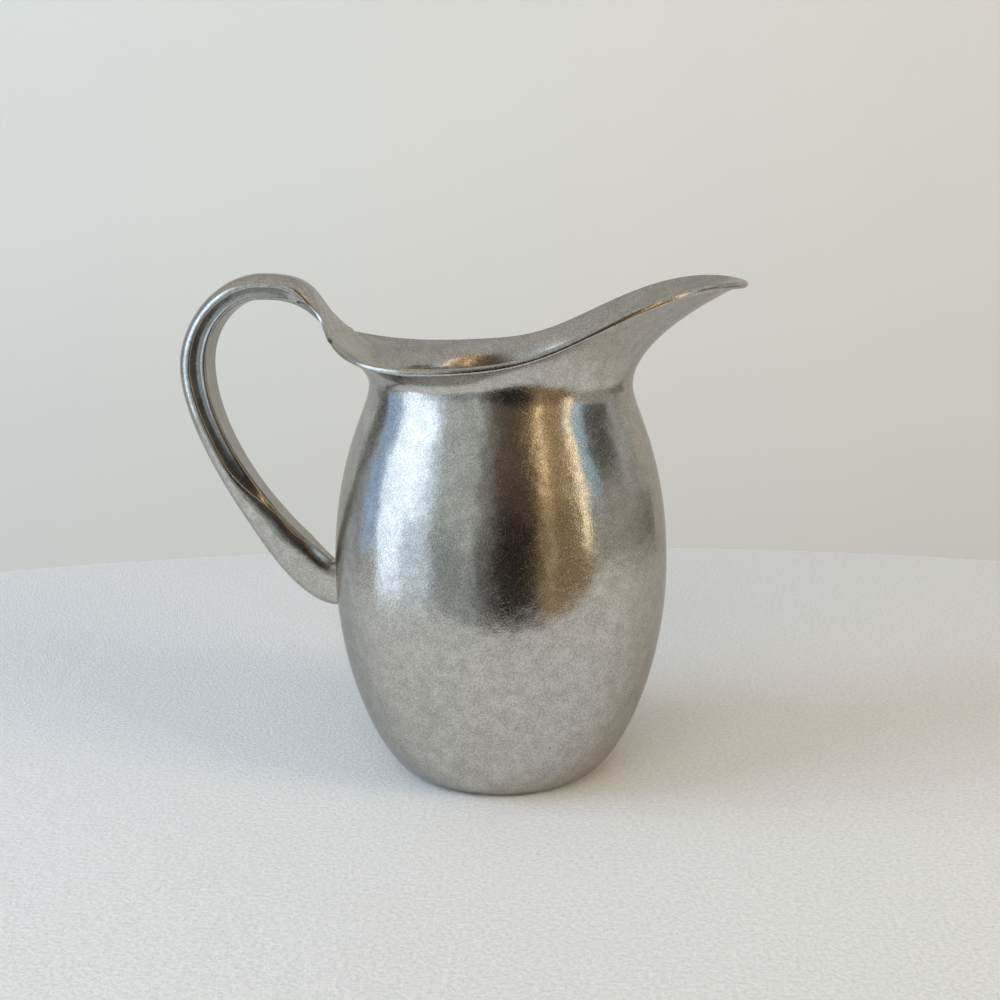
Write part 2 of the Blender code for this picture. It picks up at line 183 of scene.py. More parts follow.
class HandleSizes(bpy.types.PropertyGroup):
    """Lines and sections of the hollow handle; rows of five run from the lip over the loop to the foot."""

    back_top: lengths("Back top", "Out and up from the rear of the lip", (21.3, 16.95))
    back_rear: lengths("Back rear", "Out and up from the rear of the lip", (47.0, -11.5))
    back_low: lengths("Back low", "Out and up from the belly", (23.6, 6.4))
    back_fall: angle("Back fall", "Fall of the back line at its low point", 56.8)
    heel_drop: length("Heel drop", "Heel below the belly line", 0.0136)
    back_pulls: lengths("Back pulls", "Pulls of the back line, out of and into each knot",
                        (38.0, 44.0, 40.0, 44.0, 55.0, 30.0, 50.0, 18.0))
    finger_root: lengths("Finger root", "Out and up from the rear of the lip", (1.8, 0.8))
    finger_top: lengths("Finger top", "Out and up from the rear of the lip", (21.0, 9.4))
    finger_rear: lengths("Finger rear", "Out and up from the rear of the lip", (38.0, -10.5))
    finger_low: lengths("Finger low", "Out and up from the belly", (14.0, 12.7))
    finger_climb: angle("Finger climb", "Climb of the finger line at its root", 52.0)
    finger_fall: angle("Finger fall", "Fall of the finger line at its low point", 48.0)
    toe_rise: length("Toe rise", "Toe above the belly line", 0.0003)
    finger_pulls: lengths("Finger pulls", "Pulls of the finger line, out of and into each knot",
                          (34.0, 16.0, 28.0, 32.0, 50.0, 55.0))
    strap_half: lengths("Strap half width", "Half width of the outer stamping", (9.5, 7.9, 7.4, 5.8, 4.4))
    crown: lengths("Crown", "Depth of the rounded back, at nine even steps",
                   (1.2, 3.2, 3.4, 3.4, 3.9, 4.2, 7.2, 11.6, 11.6))
    crown_power: shares("Crown power", "Squareness of the rounded back, 2 is an ellipse",
                        (2.2, 2.2, 2.2, 2.1, 2.0))
    edge: lengths("Edge depth", "Depth of the outer stamping's edge, at nine even steps",
                  (0.6, 4.2, 3.9, 3.9, 4.5, 4.9, 10.7, 15.0, 13.3))
    tuck: share("Edge tuck", "How far the edge leans in, as a part of its depth below the crown", 0.20)
    sheet: length("Outer sheet", "Thickness of the outer stamping", 0.001)
    edge_round: length("Edge round", "Depth of the rounding on the sheet's edge", 0.0004)
    fan_span: share("Fan span", "Where along the first quarter the fan has become a strap", 0.62)
    fan_rise: length("Fan rise", "Rise of the fan along the lip's lean", 0.018)
    fan_waist: share("Fan waist", "Part of the fan's width that is left where it has become a strap", 0.44)
    fan_taper: share("Fan taper", "Power by which the fan narrows above the lip", 3.0)
    fan_crown: share("Fan crown", "Part of the fan's width that is crown", 0.93)
    liner_half: lengths("Liner half width", "Half width of the finger face", (6.0, 6.75, 6.3, 4.4, 3.0))
    liner_sheet: length("Inner sheet", "Thickness of the inner stamping", 0.0009)
    liner_start: share("Liner start", "Where along the first quarter the inner stamping begins", 0.06)
    flush_step: length("Flush step", "Step between the two stampings where the side is flush", 0.00015)
    liner_overlap: length("Liner overlap", "How far the inner stamping reaches into the outer one", 0.0014)
    ridge: length("Ridge", "Rounding between the finger face and the side", 0.0009)
    ridge_share: share("Ridge share", "Most of the side that the ridge may take", 0.4)
    groove: lengths("Groove", "Depth of the waist along the side", (0.0, 0.30, 0.36, 0.0, 0.0))
    flush_start: share("Flush start", "Where the side begins to swell out towards the foot", 2.2)
    flush_end: share("Flush end", "Where the side has become flush", 2.9)
    gap: length("Weld gap", "Room for the weld between the lip and the fan", 0.0005)
    foot_gap: length("Foot gap", "Room for the weld between the belly and the foot", 0.0012)
    fillet: length("Foot fillet", "Size of the weld's fillet round the foot", 0.0003)
    weld_swell: share("Weld swell", "Swell of the ground weld, in parts of the wall", 0.05)
    weld_sink: share("Weld sink", "Borders of the ground weld below the surface, in parts of the wall", 0.015)


class SteelFinish(bpy.types.PropertyGroup):
    """Colours and grain of the steel."""

    steel: colour("Steel", "Worn satin stainless steel", "D6D4CE")
    steel_dark: colour("Dull steel", "Duller patches in the satin", "ADABA5")
    pit: colour("Pit", "Dark specks and pits", "4A4640")
    grazing: colour("Grazing", "Steel seen edge on keeps its grey", "DAD8D6")
    # Inner steel gets a darker colour than the outer steel, which draws the finger face a darker grey
    inside: colour("Inner steel", "Less handled steel of the inner stamping", "C2C1BE")
    inside_dark: colour("Dull inner steel", "Duller patches of the inner stamping", "A6A5A2")
    grain: length("Grain", "Width of the satin grain, drawn as coarse as the picture needs", 0.00045)
    line: length("Turning line", "Spacing of the fine turning lines", 0.0004)
    line_depth: length("Turning line depth", "Depth of the fine turning lines", 0.000003)
    blotch: length("Blotch", "Width of the duller patches", 0.004)
    dent: length("Dent", "Width of the shallow waves in the sheet", 0.011)
    dent_depth: length("Dent depth", "Depth of the shallow waves in the sheet", 0.0003)
    scratch: length("Scratch", "Length of the short scratches", 0.009)
    scratch_depth: length("Scratch depth", "Depth of the short scratches", 0.0000035)
    pit_spacing: length("Pit spacing", "Distance between specks", 0.009)
    stretch: share("Stretch", "How much the turning lines stretch a highlight", 0.3)


class StageSettings(bpy.types.PropertyGroup):
    """Camera, floor, wall and room."""

    camera_distance: length("Camera distance", "From the axis, along the floor", 0.4468)
    camera_height: length("Camera height", "Above the floor", 0.1724)
    camera_turn: angle("Camera turn", "Camera round the axis, towards the spout", 4.0)
    camera_aim: angle("Camera aim", "Small turn that puts the axis where the picture has it", 0.038)
    camera_tilt: angle("Camera tilt", "Below the horizon", 11.19)
    camera_lens: share("Lens", "Focal length in millimetres on a 36 mm sensor", 54.0)
    floor_radius: length("Floor radius", "Round cloth-covered top", 0.734)
    floor_right: length("Floor right", "Middle of the floor, to the right in the picture", 0.0357)
    floor_near: length("Floor near", "Middle of the floor, towards the camera", 0.4326)
    floor_left_edge: length("Floor left edge", "Left end of the floor from the axis", 0.30)
    floor_right_edge: length("Floor right edge", "Right end of the floor from the axis", 0.48)
    floor_front_edge: length("Floor front edge", "Near edge of the floor from the axis", 0.19)
    wall_distance: length("Wall distance", "Wall behind the axis", 0.60)
    wall_width: length("Wall width", "Width of the wall", 3.2)
    wall_height: length("Wall height", "Height of the wall above and below the floor", 0.38)
    floor_colour: colour("Floor", "White fleece", "F3F3F1")
    floor_dark: colour("Floor shade", "Between the tufts of the fleece", "DADAD9")
    nap: length("Nap", "Width of the fleece's tufts", 0.0013)
    nap_depth: length("Nap depth", "Depth between the fleece's tufts", 0.0009)
    nap_strength: share("Nap strength", "How strongly the tufts shade", 0.8)
    wall_colour: colour("Wall", "Pale paint", "E4E4DF")
    room_colour: colour("Room", "Light from the room all round", "FBFAF1")
    room_light: share("Room light", "How much of it falls on the floor and the wall", 0.24)
    room_mirror: share("Room mirror", "How bright the steel mirrors it", 0.52)
    card_distance: length("Card distance", "From the axis to the farthest card", 0.84)
    card_step: length("Card step", "Each card stands this much in front of the one before", 0.001)


def ease(a, b, x):
    """Smooth step from 0 at a to 1 at b."""
    t = np.clip((np.asarray(x, float) - a) / (b - a), 0.0, 1.0)
    return t * t * (3 - 2 * t)


def hermite(start, pull, end, pull_end, u):
    """Cubic from start to end that leaves along one pull and arrives along the other, for all u at once."""
    u = np.asarray(u, float)[..., None]
    return ((2 * u**3 - 3 * u**2 + 1) * start + (u**3 - 2 * u**2 + u) * pull
            + (3 * u**2 - 2 * u**3) * end + (u**3 - u**2) * pull_end)


def hermite_slope(start, pull, end, pull_end, u):
    """Rate of change of the same cubic."""
    u = np.asarray(u, float)[..., None]
    return ((6 * u**2 - 6 * u) * (start - end) + (3 * u**2 - 4 * u + 1) * pull
            + (3 * u**2 - 2 * u) * pull_end)


def even_series(values, turn):
    """Cosine series, even in the angle, that passes through values spaced evenly from 0 to 180 degrees."""
    count = len(values)
    waves = np.arange(count)
    knots = np.linspace(0.0, math.pi, count)
    terms = np.linalg.solve(np.cos(np.outer(knots, waves)), np.array(values))
    return np.cos(np.multiply.outer(turn, waves)) @ terms


def belly_curves(vessel):
    """The two cubics of the profile, base to belly and belly to neck, as start, pull, end and end pull."""
    base = np.array((vessel.base_radius, 0.0))
    belly = np.array((vessel.belly_radius, vessel.belly_height))
    neck = np.array((vessel.neck_radius, vessel.belly_height + vessel.neck_rise))
    low = (base, np.array((vessel.base_fullness, 0.0)), belly, np.array((0.0, vessel.belly_low_fullness)))
    high = (belly, np.array((0.0, vessel.belly_high_fullness)), neck, np.array((0.0, vessel.neck_fullness)))
    return low, high


def belly_radius(vessel, height):
    """Outer radius of the vessel at any height below the neck, read from the profile."""
    low, high = belly_curves(vessel)
    u = np.linspace(0.0, 1.0, PROFILE_POINTS)
    line = np.vstack([hermite(*low, u), hermite(*high, u)[1:]])
    return np.interp(height, line[:, 1], line[:, 0])


def lip_edge(vessel, turn):
    """Centre and radius of the rolled edge at each angle, with the lip's direction and its outward side."""
    turn = np.abs(turn)
    flat = ease(vessel.bead_end, vessel.fan_edge, turn)
    half = vessel.bead / 2 + (vessel.wall / 2 - vessel.bead / 2) * flat
    radius = vessel.neck_radius + even_series(vessel.lip_reach, turn)
    height = vessel.belly_height + vessel.neck_rise + even_series(vessel.lip_rise, turn) - half
    lean = even_series(vessel.lip_lean, turn)
    along = np.stack([np.sin(lean), np.cos(lean)], -1)
    side = np.stack([np.cos(lean), -np.sin(lean)], -1)
    return np.stack([radius, height], -1), half, along, side


def vessel_points(vessel):
    """Wall sections carried round the axis: base, outer profile, lip, rolled edge, inner face and floor.

    Each section is two cubics up to the neck and a third, leaning with the lip, out to the edge. The edge is
    an arc that starts in the crease under the roll, and the inner face is the outer one moved in by the wall.
    """
    turn = np.linspace(-math.pi, math.pi, AROUND, endpoint=False)
    centre, half, along, side = lip_edge(vessel, turn)
    overhang = vessel.wall - half
    depth = np.sqrt(np.maximum(half**2 - overhang**2, 0.0))
    crease = centre + overhang[:, None] * side - depth[:, None] * along
    low, high = belly_curves(vessel)
    neck = high[2]
    rise = np.linalg.norm(crease - neck, axis=1)[:, None]
    upright = np.array((0.0, 1.0)) * even_series(vessel.lip_pull, turn)[:, None] * rise
    leaning = along * even_series(vessel.lip_end, turn)[:, None] * rise
    lip = (neck, upright[:, None], crease[:, None], leaning[:, None])
    outer, slope = [], []
    for curve, rows in ((low, LOW_ROWS), (high, HIGH_ROWS), (lip, LIP_ROWS)):
        u = np.linspace(0.0, 1.0, rows + 1)[0 if curve is low else 1:]
        spread = (AROUND, len(u), 2)
        outer.append(np.broadcast_to(hermite(*curve, u), spread))
        slope.append(np.broadcast_to(hermite_slope(*curve, u), spread))
    outer = np.concatenate(outer, axis=1)
    slope = np.concatenate(slope, axis=1)
    slope = slope / np.linalg.norm(slope, axis=2, keepdims=True)
    inner = outer - vessel.wall * np.stack([slope[..., 1], -slope[..., 0]], -1)
    first = np.arctan2(-depth, overhang)[:, None]
    roll = first + (math.pi - first) * np.linspace(0.0, 1.0, BEAD_ROWS + 1)[1:]
    edge = (centre[:, None] + half[:, None, None] * (np.cos(roll)[..., None] * side[:, None]
                                                      + np.sin(roll)[..., None] * along[:, None]))
    rings = np.linspace(0.0, 1.0, BASE_RINGS + 1)[1:-1, None]
    under = np.broadcast_to(outer[:, :1] * rings, (AROUND, BASE_RINGS - 1, 2))
    floor = under[:, ::-1] * (1.0, 0.0) + (0.0, vessel.wall)
    section = np.concatenate([under, outer, edge, inner[:, ::-1], floor], axis=1).transpose(1, 0, 2)
    return np.stack([section[..., 0] * np.cos(turn), section[..., 0] * np.sin(turn), section[..., 1]], -1)


def stations(u, values):
    """Smooth value along the handle through values at even steps from its root to its foot."""
    values = np.array(values)
    step = u * (len(values) - 1) / 4
    k = np.minimum(step.astype(int), len(values) - 2)
    return (values[k] + (values[k + 1] - values[k]) * ease(0.0, 1.0, step - k))[:, None]


def fall(turn):
    """Unit direction in the XZ plane that runs towards the vessel and falls by an angle."""
    return np.array((math.cos(turn), -math.sin(turn)))


def handle_lines(vessel, handle, u):
    """Back and finger lines as chains of cubics; u runs 0 to 4 from the lip over the loop to the belly."""
    centre, half, along, side = (part[0] for part in lip_edge(vessel, np.array([math.pi])))
    start = centre - half * side + along * (half + handle.gap)
    mirror = np.array((-1.0, 1.0))
    rear = np.array((-vessel.neck_radius - vessel.lip_reach[6],
                     vessel.belly_height + vessel.neck_rise + vessel.lip_rise[6]))
    belly = np.array((-vessel.belly_radius, vessel.belly_height))
    left, down = np.array((-1.0, 0.0)), np.array((0.0, -1.0))

    def place(corner, offset):
        return corner + mirror * offset

    def landing(height):
        return np.array((-belly_radius(vessel, height) - handle.foot_gap, height))

    low_way = fall(handle.back_fall)
    pulls = handle.back_pulls
    knots = (start * mirror, place(rear, handle.back_top), place(rear, handle.back_rear),
             place(belly, handle.back_low), landing(vessel.belly_height - handle.heel_drop))
    leaving = (along * mirror * pulls[0], left * pulls[2], down * pulls[4], low_way * pulls[6])
    arriving = (left * pulls[1], down * pulls[3], low_way * pulls[5], -left * pulls[7])
    back = chain(knots, leaving, arriving, u)
    pulls = handle.finger_pulls
    knots = (place(rear, handle.finger_root), place(rear, handle.finger_top), place(rear, handle.finger_rear),
             place(belly, handle.finger_low), landing(vessel.belly_height + handle.toe_rise))
    toe = knots[4] - knots[3]
    leaving = (-fall(handle.finger_climb) * pulls[0], left * pulls[2], down * pulls[4], toe)
    arriving = (left * pulls[1], down * pulls[3], fall(handle.finger_fall) * pulls[5], toe)
    return back, chain(knots, leaving, arriving, u)


def chain(knots, leaving, arriving, u):
    """Points of a chain of cubics through the knots at all u at once."""
    knots, leaving, arriving = np.array(knots), np.array(leaving), np.array(arriving)
    k = np.minimum(u.astype(int), len(leaving) - 1)
    return hermite(knots[k], leaving[k], knots[k + 1], arriving[k], u - k)


def section_points(lines, b, n):
    """Place section offsets, sideways b and inward n, on the handle."""
    back, finger = lines
    inward = (finger - back) / np.linalg.norm(finger - back, axis=1)[:, None]
    return np.stack([back[:, :1] + inward[:, :1] * n, b, back[:, 1:] + inward[:, 1:] * n], -1)


def strap_half_section(handle, u, inset):
    """Half of the outer stamping: a superellipse crown and a wall that leans in to the edge."""
    half = stations(u, handle.strap_half) - inset
    crown = stations(u, handle.crown) - inset
    edge = stations(u, handle.edge) - handle.edge_round
    tuck = handle.tuck * np.maximum(edge - inset - crown, 0.0)
    power = stations(u, handle.crown_power)
    turn = np.linspace(0.0, math.pi / 2, CROWN_POINTS)
    drop = np.linspace(0.0, 1.0, WALL_POINTS + 1)[1:]
    b = np.hstack([half * np.sin(turn) ** (2 / power), half - tuck * drop**2])
    n = np.hstack([inset + crown * (1 - np.cos(turn)), inset + crown + (edge - inset - crown) * drop])
    return b, n


def mirrored(b, n):
    """Whole section from edge to edge out of the half from the middle to the edge."""
    return np.hstack([-b[:, :0:-1], b]), np.hstack([n[:, :0:-1], n])


def fan_points(vessel, spread, lift, offset):
    """Points above the rear of the lip: spread -1 to 1 across the fan, lift along the lip, offset outward."""
    spread, lift, offset = np.broadcast_arrays(spread, lift, offset)
    turn = math.pi - np.abs(spread) * (math.pi - vessel.fan_edge)
    centre, half, along, side = lip_edge(vessel, turn)
    p = centre - half[..., None] * side + along * (half + lift)[..., None] + side * offset[..., None]
    return np.stack([p[..., 0] * np.cos(turn), p[..., 0] * np.sin(turn) * np.sign(spread), p[..., 1]], -1)


def on_belly(vessel, points, clearance):
    """Points slid along X onto the belly."""
    reach = np.sqrt(np.maximum(belly_radius(vessel, points[..., 2])**2 - points[..., 1]**2, 0.0))
    return np.stack([-reach - clearance, points[..., 1], points[..., 2]], -1)


def sheet_ring(outer, edge, inner, sign):
    """Closed section of a sheet: outer face, rounded edge, inner face and, times a sign, the other edge."""
    middle = ROUND_POINTS // 2
    far = sign * edge[..., ::-1]
    return np.concatenate([far[..., middle:], outer, edge, inner[..., ::-1], far[..., :middle]], axis=-1)


def strap_points(vessel, handle):
    """Outer stamping: a closed sheet section carried along the handle, unrolled into a fan at the lip."""
    u = np.linspace(0.0, 4.0, LOOP_ROWS)
    lines = handle_lines(vessel, handle, u)
    outer_b, outer_n = mirrored(*strap_half_section(handle, u, 0.0))
    inner_b, inner_n = mirrored(*strap_half_section(handle, u, handle.sheet))
    roll = np.linspace(0.0, math.pi, ROUND_POINTS + 2)[1:-1]
    round_b = outer_b[:, -1:] - handle.sheet / 2 * (1 - np.cos(roll))
    round_n = outer_n[:, -1:] + handle.edge_round * np.sin(roll)
    b = sheet_ring(outer_b, round_b, inner_b, -1.0)
    n = sheet_ring(outer_n, round_n, inner_n, 1.0)
    turn = np.linspace(0.0, math.pi / 2, CROWN_POINTS)
    half = np.append(handle.fan_crown * np.sin(turn) ** (2 / handle.crown_power[0]),
                     handle.fan_crown + (1 - handle.fan_crown) * np.linspace(0.0, 1.0, WALL_POINTS + 1)[1:])
    across = np.append(-half[:0:-1], half)
    spread = sheet_ring(across, np.ones(ROUND_POINTS), across, -1.0)
    rounding = handle.sheet * (1 - np.cos(roll)) / 2
    level = np.zeros(len(across))
    offset = sheet_ring(level, rounding, level + handle.sheet, 1.0)
    lift = handle.gap + handle.fan_rise * u[:, None]
    taper = np.maximum(1 - u[:, None] / handle.fan_span, 0.0) ** handle.fan_taper
    narrow = handle.fan_waist + (1 - handle.fan_waist) * taper
    fan = fan_points(vessel, spread * narrow, lift, offset)
    blend = ease(0.0, handle.fan_span, u)[:, None, None]
    points = section_points(lines, b, n) * blend + fan * (1 - blend)
    points[-1] = on_belly(vessel, points[-1], -vessel.wall * FOOT_SINK)
    return points


def soften(line, times):
    """Round a broken line by cutting every corner at a quarter of its sides; its ends stay."""
    for _ in range(times):
        cut = np.repeat(line, 2, axis=1)[:, 1:-1]
        cut[:, 0::2] = 0.75 * line[:, :-1] + 0.25 * line[:, 1:]
        cut[:, 1::2] = 0.25 * line[:, :-1] + 0.75 * line[:, 1:]
        cut[:, 0] = line[:, 0]
        cut[:, -1] = line[:, -1]
        line = cut
    return line


def liner_points(vessel, handle):
    """Inner stamping: a tray with a flat finger face, a rounded ridge and a waisted side; a closed section.

    The half section is a broken line of face, ridge, side and hidden edge, with its corners rounded. Towards
    the foot the side swells out until it is flush with the outer stamping.
    """
    u = np.linspace(handle.liner_start, 4.0, LOOP_ROWS)
    lines = handle_lines(vessel, handle, u)
    depth = np.linalg.norm(lines[1] - lines[0], axis=1)[:, None]
    strap_b, strap_n = strap_half_section(handle, u, handle.sheet)
    throat = strap_b[:, -1:]
    edge = strap_n[:, -1:]
    half = stations(u, handle.liner_half)
    span = depth - edge
    ridge = np.minimum(handle.ridge, handle.ridge_share * span)
    flush = ease(handle.flush_start, handle.flush_end, u)[:, None]
    brow = throat + (handle.sheet - handle.flush_step) * flush
    waist = stations(u, handle.groove) * SIDE_WAIST
    side_b = brow + (half - brow) * (SIDE_DROP + SIDE_DROP**2) / 2 - waist
    side_n = edge + (span - ridge) * SIDE_DROP
    face_b = np.hstack([half * 0, half / 2, half - ridge, half - ridge / 3, half])
    face_n = np.hstack([depth, depth, depth, depth - ridge / 3, depth - ridge])
    crown = strap_n[:, CROWN_POINTS - 1:CROWN_POINTS]
    tuck = np.minimum(handle.liner_overlap, edge - crown * CROWN_CLEARANCE)
    b, n = mirrored(np.hstack([face_b, side_b, throat, throat]),
                    np.hstack([face_n, side_n, edge - handle.edge_round / 2, edge - tuck]))
    line = soften(np.stack([b, n], -1), LINER_SOFTENING)
    b, n = line[..., 0], line[..., 1]
    inner_b = np.sign(b) * np.maximum(np.minimum(np.abs(b), throat) - handle.liner_sheet, np.abs(b) / 3)
    inner_n = np.minimum(n, depth - handle.liner_sheet)
    points = section_points(lines, np.hstack([b, inner_b[:, ::-1]]), np.hstack([n, inner_n[:, ::-1]]))
    points[-1] = on_belly(vessel, points[-1], -vessel.wall * FOOT_SINK)
    return points


def top_weld_points(vessel, handle):
    """Ground weld on the rear of the lip: a lens-shaped band wrapped over the joint, flush at its borders."""
    spread = np.linspace(-1.0, 1.0, WELD_ROWS)
    rise = np.linspace(0.0, 1.0, WELD_POINTS)
    low, high = -vessel.wall, handle.gap + vessel.wall / 2
    swell = vessel.wall * (handle.weld_swell * np.sin(math.pi * rise) - handle.weld_sink)
    lift = np.concatenate([low + (high - low) * rise, high + (low - high) * rise])
    offset = np.concatenate([-swell, vessel.wall + swell[::-1]])
    return fan_points(vessel, spread[:, None], lift, offset)


def foot_weld_points(vessel, handle):
    """Fillet round the foot: a hollow-cheeked section carried round the foot's outline on the belly."""
    u = np.array([4.0])
    lines = handle_lines(vessel, handle, u)
    depth = np.linalg.norm(lines[1] - lines[0])
    b, n = strap_half_section(handle, u, 0.0)
    half = handle.liner_half[4]
    corner = np.linspace(0.0, math.pi / 2, CORNER_POINTS)
    b = np.hstack([b, [half - handle.ridge * (1 - np.cos(corner))], [[half / 2]]])
    n = np.hstack([n, [depth - handle.ridge * (1 - np.sin(corner))], [[depth]]])
    b, n = np.hstack([b, -b[:, :0:-1]]), np.hstack([n, n[:, :0:-1]])
    line = section_points(lines, b, n)[0]
    ahead = np.roll(line, -1, axis=0) - np.roll(line, 1, axis=0)
    outward = np.stack([np.zeros(len(line)), -ahead[:, 2], ahead[:, 1]], -1)
    outward /= np.linalg.norm(outward, axis=1)[:, None]
    outward *= np.sign(((line - line.mean(axis=0)) * outward).sum(axis=1))[:, None]
    bend = np.linspace(0.0, math.pi / 2, FILLET_POINTS)
    sunk = -vessel.wall / 3
    away = np.concatenate([handle.fillet * (1 - np.sin(bend)), [-handle.fillet / 2, -handle.fillet / 2]])
    lift = np.concatenate([handle.fillet * (1 - np.cos(bend)), [handle.fillet, sunk]])
    lift[0] = sunk
    grid = [on_belly(vessel, line + outward * a, h) for a, h in zip(away, lift)]
    return np.array(grid).transpose(1, 0, 2)


def surface_map(points):
    """Distance across and along the surface at every grid point; the first column is repeated at the end."""
    ring = np.concatenate([points, points[:, :1]], axis=1)
    across = np.cumsum(np.linalg.norm(np.diff(ring, axis=1), axis=2), axis=1)
    across = np.hstack([np.zeros((len(points), 1)), across])
    along = np.cumsum(np.linalg.norm(np.diff(ring, axis=0), axis=2), axis=0)
    along = np.vstack([np.zeros((1, ring.shape[1])), along])
    return np.stack([across, along], -1)


def skin(name, points, ends):
    """Closed mesh over a grid whose columns run round: ends are joined by caps, poles or to each other."""
    rows, columns = points.shape[:2]
    ring = np.arange(columns)
    after = np.roll(ring, -1)
    first = np.arange(rows if ends == "ring" else rows - 1)[:, None] * columns
    second = (first + columns) % (rows * columns)
    quads = np.stack([first + ring, first + after, second + after, second + ring], -1).reshape(-1, 4)
    place = surface_map(points)
    if ends == "ring":
        place = np.concatenate([place, place[-1:] + place[1:2]], axis=0)
    corners = np.stack([place[:-1, :-1], place[:-1, 1:], place[1:, 1:], place[1:, :-1]], 2).reshape(-1, 4, 2)
    verts = points.reshape(-1, 3)
    faces, spots = quads.tolist(), [corners.reshape(-1, 2)]
    last = (rows - 1) * columns
    if ends == "caps":
        j = np.arange(columns // 2 - 1)
        cap = np.stack([j, j + 1, columns - 2 - j, columns - 1 - j], -1)
        for base, row in ((0, 0), (last, -1)):
            faces += (cap + base).tolist()
            spots.append(place[row][cap].reshape(-1, 2))
    if ends == "poles":
        for base, row in ((0, 0), (last, -1)):
            middle = points[row].mean(axis=0)
            fan = np.stack([ring + base, after + base, np.full(columns, len(verts))], -1)
            verts = np.vstack([verts, middle])
            faces += fan.tolist()
            spots.append(np.stack([place[row, :-1], place[row, 1:], place[row, :-1]], 1).reshape(-1, 2))
    mesh = bpy.data.meshes.new(name)
    mesh.from_pydata(verts.tolist(), [], faces)
    layer = mesh.uv_layers.new(name=SURFACE_MAP)
    layer.data.foreach_set("uv", np.concatenate(spots).astype(np.float32).ravel())
    shell = bmesh.new()
    shell.from_mesh(mesh)
    bmesh.ops.recalc_face_normals(shell, faces=shell.faces)
    shell.to_mesh(mesh)
    shell.free()
    mesh.shade_smooth()
    mesh.set_sharp_from_angle(angle=SHARP_ANGLE)
    piece = bpy.data.objects.new(name, mesh)
    bpy.context.collection.objects.link(piece)
    return piece


def finish_piece(piece, steel, node):
    """Give a piece its steel and its place on the part, and hide the solid that it stands for."""
    piece.data.materials.append(steel)
    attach(piece, "root")
    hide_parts(node)


def add(tree, kind, inputs=None, **settings):
    """Add a node with its settings, and give each named input a value or a link."""
    made = tree.nodes.new(kind)
    for key, value in settings.items():
        setattr(made, key, value)
    for key, value in (inputs or {}).items():
        if isinstance(value, bpy.types.NodeSocket):
            tree.links.new(value, made.inputs[key])
        else:
            made.inputs[key].default_value = value
    return made


def new_material(name):
    """Empty node material with its output node."""
    material = bpy.data.materials.new(name)
    material.use_nodes = True
    material.node_tree.nodes.clear()
    output = material.node_tree.nodes.new("ShaderNodeOutputMaterial")
    return material, material.node_tree, output


